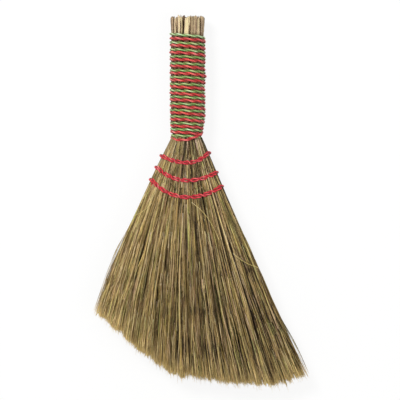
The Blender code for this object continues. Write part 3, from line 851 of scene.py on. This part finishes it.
def fuzz(path, outward, cord_radius, count, length, draw):
    """Short loose fibres that stand out of a cord."""
    at = draw.integers(1, len(path) - 2, count)
    course = unit(path[at + 1] - path[at - 1])
    out = unit(outward[at] + draw.normal(0, 0.5, (count, 3)))
    reach = draw.uniform(0.3, 1.0, (count, 1, 1)) * length
    row = np.linspace(0, 1, 4)[None, :, None]
    lean = course[:, None] * draw.normal(0, 1.0, (count, 1, 1))
    root = path[at][:, None] + out[:, None] * cord_radius * 0.8
    centres = root + reach * (row * out[:, None] * 0.6 + row ** 2 * lean * 0.6)
    centres[..., 2] = np.clip(centres[..., 2], LOWEST, CEILING)
    radii = np.full((count, 4), FIBRE_RADIUS) * (1 - 0.5 * row[:, :, 0])
    facing = np.cross(out, course)[:, None] + 1e-6
    return tube_set(rings(centres, radii, 3, facing=facing), FIBRE_TINT, 1.0)


BUNDLE_RADIUS = 0.0177
CORD_RADIUS = 0.00145
GREEN_RADIUS = 0.0015
RED_RADIUS = 0.00178
CORD_SEAT = -0.0008
WINDING_TURNS = 15.5
WINDING_PITCH = 0.0073
WINDING_TOP = 0.1158
WINDING_BOW = 0.0017
FIRST_RAISE = 0.0018
CORD_TINT = 0.45
FIRST_TINT = 0.22
GREEN_TILT = -0.0002
RED_TILT = 0.0002
RED_LAG_SHARE = 0.45
WRAPPED_BULGE = 0.0008
CORD_LAY = 0.023
NECKING_DEPTH = 0.0012
RIGHT_NECKING_DEPTH = 0.003
NECKING_LENGTH = 0.028
TURN_STATIONS = 84
WINDING_FIBRES = 700
# Waves to the turn, and how far they shift and lift the cords
UNEVEN_WAVES = (0.37, 0.83, 1.7, 2.9)
WOBBLE = 0.00012
SWELL = 0.00008
# The red cord's last half turn
RED_END_TURNS = 0.5
RED_END_FALL = 0.00256
RED_END_RISE = 0.0098
RED_END_LIFT = 0.0021
RED_END_DROP = 0.0012
KNUCKLE_TURN = 5.46
KNUCKLE_WIDTH = 0.05
KNUCKLE_HEIGHT = 0.0012


def necking(y, angle):
    """How much the bound handle narrows at the neck, most of all on its right."""
    right = np.clip(-np.cos(angle), 0, 1) ** 2
    return (NECKING_DEPTH + RIGHT_NECKING_DEPTH * right) * (1 - smooth(0, NECKING_LENGTH, y))


def winding_path(lag, tilt, draw):
    """A helix round the handle, a little uneven, from the left of its top down."""
    turn = np.linspace(0, WINDING_TURNS, int(WINDING_TURNS * TURN_STATIONS))
    angle = turn * tau
    y = WINDING_TOP - (turn + lag) * WINDING_PITCH
    share = turn / WINDING_TURNS
    y = y + tilt * np.cos(angle) - WINDING_BOW * 4 * share * (1 - share)
    wobble, swell = 0 * turn, 0 * turn
    for waves in UNEVEN_WAVES:
        wobble += WOBBLE * np.sin(turn * waves * tau + draw.uniform(0, tau))
        swell += SWELL * np.sin(turn * waves * tau + draw.uniform(0, tau))
    y = y + wobble
    reach = BUNDLE_RADIUS + CORD_SEAT + CORD_RADIUS + swell - necking(y, angle)
    return turn, angle, y, reach


def helix_points(angle, y, reach):
    """Points of a winding, kept off the floor, and the way outward at each."""
    points = np.stack([-reach * np.cos(angle), y, reach * np.sin(angle)], axis=1)
    outward = np.stack([-np.cos(angle), 0 * angle, np.sin(angle)], axis=1)
    points[:, 2] = np.maximum(points[:, 2], LOWEST + RED_RADIUS)
    return points, outward


def winding_sets(angle, y, reach, radius, tint, draw):
    path, outward = helix_points(angle, y, reach)
    return [plies(path, outward, radius, CORD_LAY, 9, tint, draw),
            fuzz(path, outward, radius, WINDING_FIBRES, 0.0022, draw)]


def add_green_winding(draw):
    """The green cord, whose first turn is raised and paler."""
    turn, angle, y, reach = winding_path(0, GREEN_TILT, draw)
    y = y + FIRST_RAISE * (1 - smooth(0, 0.5, turn))
    tint = CORD_TINT + FIRST_TINT * (1 - smooth(0.45, 0.8, turn))
    sets = winding_sets(angle, y, reach, GREEN_RADIUS, tint, draw)
    material = cord_material("green_cord_yarn", GREEN_STOPS, GREEN_SHADOW)
    add_piece("green_winding_cord", sets, material, "green_winding")


def add_red_winding(draw):
    """The red cord, whose lower end rides up over the others."""
    turn, angle, y, reach = winding_path(RED_LAG_SHARE, RED_TILT, draw)
    last = np.clip((turn - (WINDING_TURNS - RED_END_TURNS)) / RED_END_TURNS, 0, 1)
    y = y - RED_END_FALL * np.sin(pi * last) * (1 - last) + RED_END_RISE * smooth(0.4, 1.0, last)
    reach = reach + RED_END_LIFT * smooth(0.5, 0.8, last) - RED_END_DROP * smooth(0.93, 1.0, last)
    reach = reach + KNUCKLE_HEIGHT * np.exp(-((turn - KNUCKLE_TURN) / KNUCKLE_WIDTH) ** 2)
    sets = winding_sets(angle, y, reach, RED_RADIUS, CORD_TINT, draw)
    material = cord_material("red_cord_yarn", RED_STOPS, RED_SHADOW)
    add_piece("red_winding_cord", sets, material, "red_winding")


def add_windings():
    draw = np.random.default_rng(SEED + 20)
    add_green_winding(draw)
    add_red_winding(draw)


# Sewn rows

ROW_CORD_RADIUS = 0.00125
ROW_LANE = 0.00128
LANE_SHARPNESS = 1.7
ROW_LIFT = 0.0004
ROW_DIP = 0.0012
ROW_LAY = 0.0135
ROW_STEP = 0.001
ROW_STATIONS = 130
ROW_FIBRES = 110
SEAM_HALF_WIDTH = 0.16
TURN_PLACE = 0.26
TURN_REACH = 0.0024
TURN_POINTS = 16


def row_line(row, place, upper):
    """Points of a row over one surface of the fan, each with its ray."""
    angle = fan_angle(place)
    reach = row_distance(row, place) + APEX / np.cos(angle)
    depth = surface_depth(place, row + 1.0 + 0 * place, upper)
    near = np.abs(place - np.round(place))
    seam = np.exp(-(near / SEAM_HALF_WIDTH) ** 2) * ((place > 0.5) & (place < TUFT_COUNT - 0.5))
    z = depth - ROW_DIP * seam + ROW_CORD_RADIUS + ROW_LIFT
    z = np.where(upper, z, -z)
    point = np.stack([reach * np.sin(angle), APEX - reach * np.cos(angle), z], axis=1)
    ray = np.stack([np.sin(angle), -np.cos(angle), 0 * angle], axis=1)
    return np.stack([point, ray], axis=1)


def row_turn(start, end, side):
    """The row's way round an edge of the fan, as row_line gives it."""
    turns = np.linspace(0, pi, TURN_POINTS)[1:-1, None]
    middle = (start[0] + end[0]) / 2
    half = (start[0] - end[0]) / 2
    ray = start[1]
    out = np.array([side * -ray[1], side * ray[0], 0.0])
    arc = middle + np.cos(turns) * half + np.sin(turns) * out * TURN_REACH
    return np.stack([arc, np.broadcast_to(ray, arc.shape)], axis=1)


def row_ring(row):
    """A whole row, over the front to the left and back behind, with its phases."""
    places = np.linspace(TUFT_COUNT - TURN_PLACE, TURN_PLACE, ROW_STATIONS)
    front = row_line(row, places, True)
    back = row_line(row, places[::-1], False)
    left = row_turn(front[-1], back[0], -1)
    right = row_turn(back[-1], front[0], 1)
    turn = np.linspace(TURN_PLACE, -TURN_PLACE, TURN_POINTS)[1:-1]
    phase = [places, turn, -places[::-1], turn - TUFT_COUNT, places[:2] - 2 * TUFT_COUNT]
    return np.concatenate([front, left, back, right, front[:2]]), np.concatenate(phase)


def add_rows():
    """Two cords to each row, which cross between the tufts."""
    material = cord_material("sewing_cord_yarn", SEWING_STOPS, RED_SHADOW)
    for row, name in enumerate(ROW_NAMES):
        draw = np.random.default_rng(SEED + 30 + row)
        line, phase = row_ring(row)
        points, rays = line[:, 0], line[:, 1]
        outward = unit(np.cross(np.gradient(points, axis=0), rays))
        outward *= np.sign((outward[:, 2] * points[:, 2]).sum())
        lane = np.clip(LANE_SHARPNESS * np.sin(pi * phase), -1, 1)
        over = np.sign(np.cos(pi * phase)) * np.sqrt(1 - lane ** 2)
        sets = []
        for cord in (-1, 1):
            beside = rays * (cord * lane * ROW_LANE)[:, None]
            above = outward * (cord * over * ROW_CORD_RADIUS * 0.8)[:, None]
            path = smoothed_path(points + beside + above, ROW_STEP)
            facing = between(np.linspace(0, 1, len(path)), np.linspace(0, 1, len(outward)), outward)
            twist = draw.uniform(0, 6)
            sets.append(plies(path, facing, ROW_CORD_RADIUS, ROW_LAY, 8, CORD_TINT, draw, twist))
            sets.append(fuzz(path, facing, ROW_CORD_RADIUS, ROW_FIBRES, 0.0018, draw))
        if row == ROW_COUNT - 1:
            sets.append(row_tail(draw))
        add_piece(f"{name}_cord", sets, material, name)


TAIL_POINTS = ((-0.0366, -0.044, 0.009), (-0.0392, -0.0478, 0.0086), (-0.0406, -0.0502, 0.0078),
               (-0.0414, -0.053, 0.0066))


def row_tail(draw):
    """The loose end of the lowest row, below its left end."""
    path = smoothed_path(TAIL_POINTS, ROW_STEP)
    outward = np.repeat(FRONT[None], len(path), axis=0)
    return plies(path, outward, ROW_CORD_RADIUS * 0.8, ROW_LAY, 8, 0.35, draw)


# Stalks of the handle

STALK_SIDES = 16
BARE_LENGTH = 0.0245
STALK_NECKING = 0.0028
# By the number of the outer stalk
STALK_TINTS = {1: 0.16, 2: 0.48, 3: 0.66, 4: 0.86, 5: 1.0, 6: 0.4, 7: 0.52, 8: 0.68, 9: 0.62,
               10: 0.74, 20: 0.25}
STALK_LEANS = {4: (0.0003, 0.0003), 5: (0.0008, 0.0016), 6: (0.0012, 0.0004)}
STALK_KNOBS = {5: 0.055}
# Torn end: depths and sizes of its rim and hollow
HOLLOW_DEPTHS = (0.0, 0.0012, 0.0035)
HOLLOW_SIZES = (0.72, 0.62, 0.45)
JOINT_SWELLING = 0.12
JOINT_LENGTH = 0.0009
SPLAY = 0.06
SLANT = 0.28
TEAR = 0.0006
SLIVER_COUNT = 10
SLIVER_RADIUS = 0.00026
SLIVER_ROOT = 0.002
SLIVER_LENGTHS = (0.0012, 0.0036)
SLIVER_LEAN = 0.0003
# Fillers: where they lie beside their stalk, how much higher they end, and how much painted shade darkens
# them
FILLER_SIDES = (-1, -0.8, -1.1, 0.5, 0.1)
FILLER_DEPTHS = (0.0001, 0.001, 0.0022, 0.0058, 0.0062)
FILLER_RISES = (0, 0, 0.0004, 0.0016, 0.001)
FILLER_SHADES = (1, 0.85, 0.65, 0.5, 0.5)
FILLER_SPLAY = 0.07


def outer_number(name):
    """The number of an outer stalk, or 0 for any other."""
    return int(name[-2:]) if name.startswith("outer") else 0


def stalk_place(name):
    """Middle of a stalk, its radius and its top."""
    low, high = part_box(name)
    x, z = (low.x + high.x) / 2 - ORIGIN.x, (low.z + high.z) / 2 - ORIGIN.z
    return x, z, (high.x - low.x) / 2, high.y - ORIGIN.y


def bare(y, top):
    """0 below the winding's top and 1 at the cut end."""
    return smooth(top - BARE_LENGTH, top, y)


def stalk_necking(x, y):
    """How much the stalks close up at the neck, as a share of their distance."""
    right = RIGHT_NECKING_DEPTH * smooth(0, BUNDLE_RADIUS, x) * (1 - smooth(0, NECKING_LENGTH, y))
    bulge = WRAPPED_BULGE * smooth(0.004, 0.014, y) * (1 - smooth(0.106, 0.113, y))
    return (STALK_NECKING * (1 - smooth(0, 0.02, y)) + right * 0.6 - bulge) / BUNDLE_RADIUS


def in_the_open(y, top):
    """How well the stalks are lit: hardly at all under the winding."""
    return 0.08 + 0.92 * smooth(top - BARE_LENGTH + 0.003, top - BARE_LENGTH + 0.009, y)


def stalk_wall(number, x, z, radius, top, draw):
    """A cut stalk: fluted and knotty, splayed at its torn and hollow end."""
    shift, lean = STALK_LEANS.get(number, (0.0, draw.normal(0, 0.0003)))
    lower = np.linspace(0.0003, top - BARE_LENGTH, 14)
    upper = np.linspace(top - BARE_LENGTH, top, 19)[1:]
    y = np.concatenate([lower, upper, top - np.array(HOLLOW_DEPTHS)])
    angles = np.arange(STALK_SIDES) * tau / STALK_SIDES
    ripple = 0.05 * np.cos(draw.integers(3, 6) * angles + draw.uniform(0, 6))
    ripple = ripple + 0.04 * np.cos(2 * angles + draw.uniform(0, 6))
    knobs = draw.normal(0, STALK_KNOBS.get(number, 0.02), (len(y), STALK_SIDES))
    size = radius * 0.96 * (1 + ripple[None] + knobs)
    joint = top - draw.uniform(0.002, 0.02)
    size = size * (1 + JOINT_SWELLING * np.exp(-((y - joint) / JOINT_LENGTH) ** 2))[:, None]
    size[-3:] *= np.array(HOLLOW_SIZES)[:, None]
    spread = 1 + SPLAY * bare(y, top) - stalk_necking(x, y)
    centres = np.stack([x * spread + shift + lean * bare(y, top), y, z * spread], axis=1)
    corners = rings(centres[None], size[None], STALK_SIDES, course=UP_THE_HANDLE)
    slant = draw.normal(0, SLANT, 2)
    tear = draw.normal(0, TEAR, STALK_SIDES)
    for station in (-5, -4, -3):
        offset = corners[0, station] - centres[station]
        corners[0, station, :, 1] += offset[:, 0] * slant[0] + offset[:, 2] * slant[1] + tear
    corners[0, ..., 2] = np.maximum(corners[0, ..., 2], LOWEST)
    return corners, centres


def slivers(root_centre, radius, top, tint, draw):
    """Slivers that stand up from the torn rim of a stalk."""
    turn = draw.uniform(0, tau, SLIVER_COUNT)
    each = (SLIVER_COUNT, 1, 1)
    row = np.linspace(0, 1, 4)
    out = np.stack([np.cos(turn), 0 * turn, np.sin(turn)], axis=1)
    root = root_centre * (1, 0, 1) + out * radius * 0.86 + (top - SLIVER_ROOT) * UP_THE_HANDLE
    reach = draw.uniform(*SLIVER_LENGTHS, each)
    lean = out[:, None] * draw.normal(0, SLIVER_LEAN, each)
    grown = root[:, None] + row[None, :, None] * reach * UP_THE_HANDLE + (row ** 2)[None, :, None] * lean
    thin = np.full((SLIVER_COUNT, 4), SLIVER_RADIUS) * (1 - 0.6 * row)[None]
    return tube_set(rings(grown, thin, 4, course=UP_THE_HANDLE), tint, 0.75)


def stalk_sets(name, draw):
    """A cut stalk with its slivers, lit from outside."""
    x, z, radius, top = stalk_place(name)
    number = outer_number(name)
    tint = STALK_TINTS.get(number, draw.uniform(0.1, 0.6))
    corners, centres = stalk_wall(number, x, z, radius, top, draw)
    spoke = corners - centres[None, :, None]
    radial = np.array([x, 0, z]) / max(hypot(x, z), radius)
    facing = (spoke * radial).sum(axis=3) / np.maximum(np.linalg.norm(spoke, axis=3), 1e-9)
    # Painted shade: darker under the winding, on the sides that face into the bundle and on stalks deep
    # inside it
    shade = in_the_open(centres[:, 1], top)[None, :, None] * (0.4 + 0.6 * smooth(-0.4, 0.75, facing))
    shade = shade * (0.7 + 0.3 * smooth(0.5, 0.8, hypot(x, z) / BUNDLE_RADIUS))
    # Painted shade inside the hollow, torn end
    shade[:, -2:] *= 0.55
    return [tube_set(corners, tint, shade), slivers(centres[-4], radius, top, tint, draw)]


def fillers(name, draw):
    """Thin straws round an outer stalk."""
    x, z, radius, _ = stalk_place(name)
    count = len(FILLER_SIDES)
    size = draw.uniform(0.00035, 0.0008, count)
    beside = np.array(FILLER_SIDES) * radius + draw.normal(0, 0.0003, count)
    turn = atan2(z, x) + beside / BUNDLE_RADIUS
    reach = BUNDLE_RADIUS - size - np.array(FILLER_DEPTHS)
    top = draw.uniform(0.1295, 0.1362, count) + np.array(FILLER_RISES)
    y = np.linspace(0.01, 1, 16)[None] * top[:, None]
    spread = 1 + FILLER_SPLAY * smooth(0.11, 0.136, y) - stalk_necking(x, y)
    wave = 0.0002 * np.sin(y * 240 + turn[:, None] * 9)
    spread = spread * reach[:, None] + wave
    angle = turn[:, None] + wave / BUNDLE_RADIUS * 2
    centres = np.stack([spread * np.cos(angle), y, spread * np.sin(angle)], axis=2)
    radii = np.repeat(size[:, None], y.shape[1], axis=1)
    radii[:, -1] *= 0.5
    shade = in_the_open(y, 0.135) * np.array(FILLER_SHADES)[:, None]
    return tube_set(rings(centres, radii, 6, course=UP_THE_HANDLE), draw.uniform(0, 0.9, count), shade)


def add_stalks():
    material = grass_material("stalk_grass", STALK_STOPS, STALK_SHADOW, STALK_TIP, 0.97, 0.5)
    draw = np.random.default_rng(SEED + 50)
    for name in sorted(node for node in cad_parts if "stalk" in node):
        sets = stalk_sets(name, draw)
        if outer_number(name):
            sets.append(fillers(name, draw))
        add_piece(f"{name}_straw", sets, material, name)


# Studio

FLOOR_SIZE = 8.0
FLOOR_COLOUR = (0.86, 0.86, 0.85, 1)
WHITE = (1, 1, 1, 1)
FLOOR_GLOW = 0.87
SKY_STRENGTH = 0.55
# Name, place, size and power
LAMPS = (("key", (-0.9, 0.9, 1.9), 0.7, 34), ("fill", (1.2, -0.4, 1.8), 1.4, 10))


def seen_or_mirrored(tree):
    """1 for what the camera sees, mirrored or through glass too, else 0."""
    path = add_node(tree, "LightPath")
    seen = maths(tree, "MAXIMUM", path.outputs["Is Camera Ray"], path.outputs["Is Glossy Ray"])
    return maths(tree, "MAXIMUM", seen, path.outputs["Is Transmission Ray"])


def add_floor():
    """A pale floor that shows as white, apart from the shadow."""
    bpy.ops.mesh.primitive_plane_add(size=FLOOR_SIZE)
    floor = bpy.context.object
    floor.name = "studio_floor"
    material, tree, shader = new_material("pale_floor")
    set_inputs(tree, shader, {"Base Color": FLOOR_COLOUR, "Roughness": 0.9, "Specular IOR Level": 0.1})
    glow = add_node(tree, "Emission", {"Color": WHITE, "Strength": 1.0})
    factor = maths(tree, "MULTIPLY", seen_or_mirrored(tree), FLOOR_GLOW)
    mixed = add_node(tree, "MixShader", {0: factor, 1: shader.outputs[0], 2: glow.outputs[0]})
    set_inputs(tree, tree.nodes["Material Output"], {"Surface": mixed.outputs[0]})
    floor.data.materials.append(material)


def add_light(name, place, size, power):
    """A round lamp that faces the middle of the floor."""
    data = bpy.data.lights.new(name, "AREA")
    data.shape = "DISK"
    data.size = size
    data.energy = power
    light = add_object(name, data)
    light.location = place
    light.rotation_euler = (Vector() - Vector(place)).to_track_quat("-Z", "Y").to_euler()


def add_studio():
    """Floor, lamps and a sky that looks white but lights the object less."""
    add_floor()
    for lamp in LAMPS:
        add_light(*lamp)
    world = bpy.data.worlds.new("studio")
    world.use_nodes = True
    bpy.context.scene.world = world
    tree = world.node_tree
    brighter = maths(tree, "MULTIPLY", seen_or_mirrored(tree), 1 - SKY_STRENGTH)
    strength = maths(tree, "ADD", brighter, SKY_STRENGTH)
    set_inputs(tree, tree.nodes["Background"], {"Color": WHITE, "Strength": strength})


def add_camera():
    data = bpy.data.cameras.new("camera")
    data.sensor_width = SENSOR_WIDTH
    data.lens = SENSOR_WIDTH * CAMERA_DISTANCE / VIEW_WIDTH
    camera = add_object("camera", data)
    camera.location = np.array(ORIGIN) + (*VIEW_CENTRE, CAMERA_DISTANCE)
    bpy.context.scene.camera = camera


add_camera()
add_studio()
add_tufts()
add_windings()
add_rows()
add_stalks()
bpy.context.scene.view_settings.view_transform = "Standard"
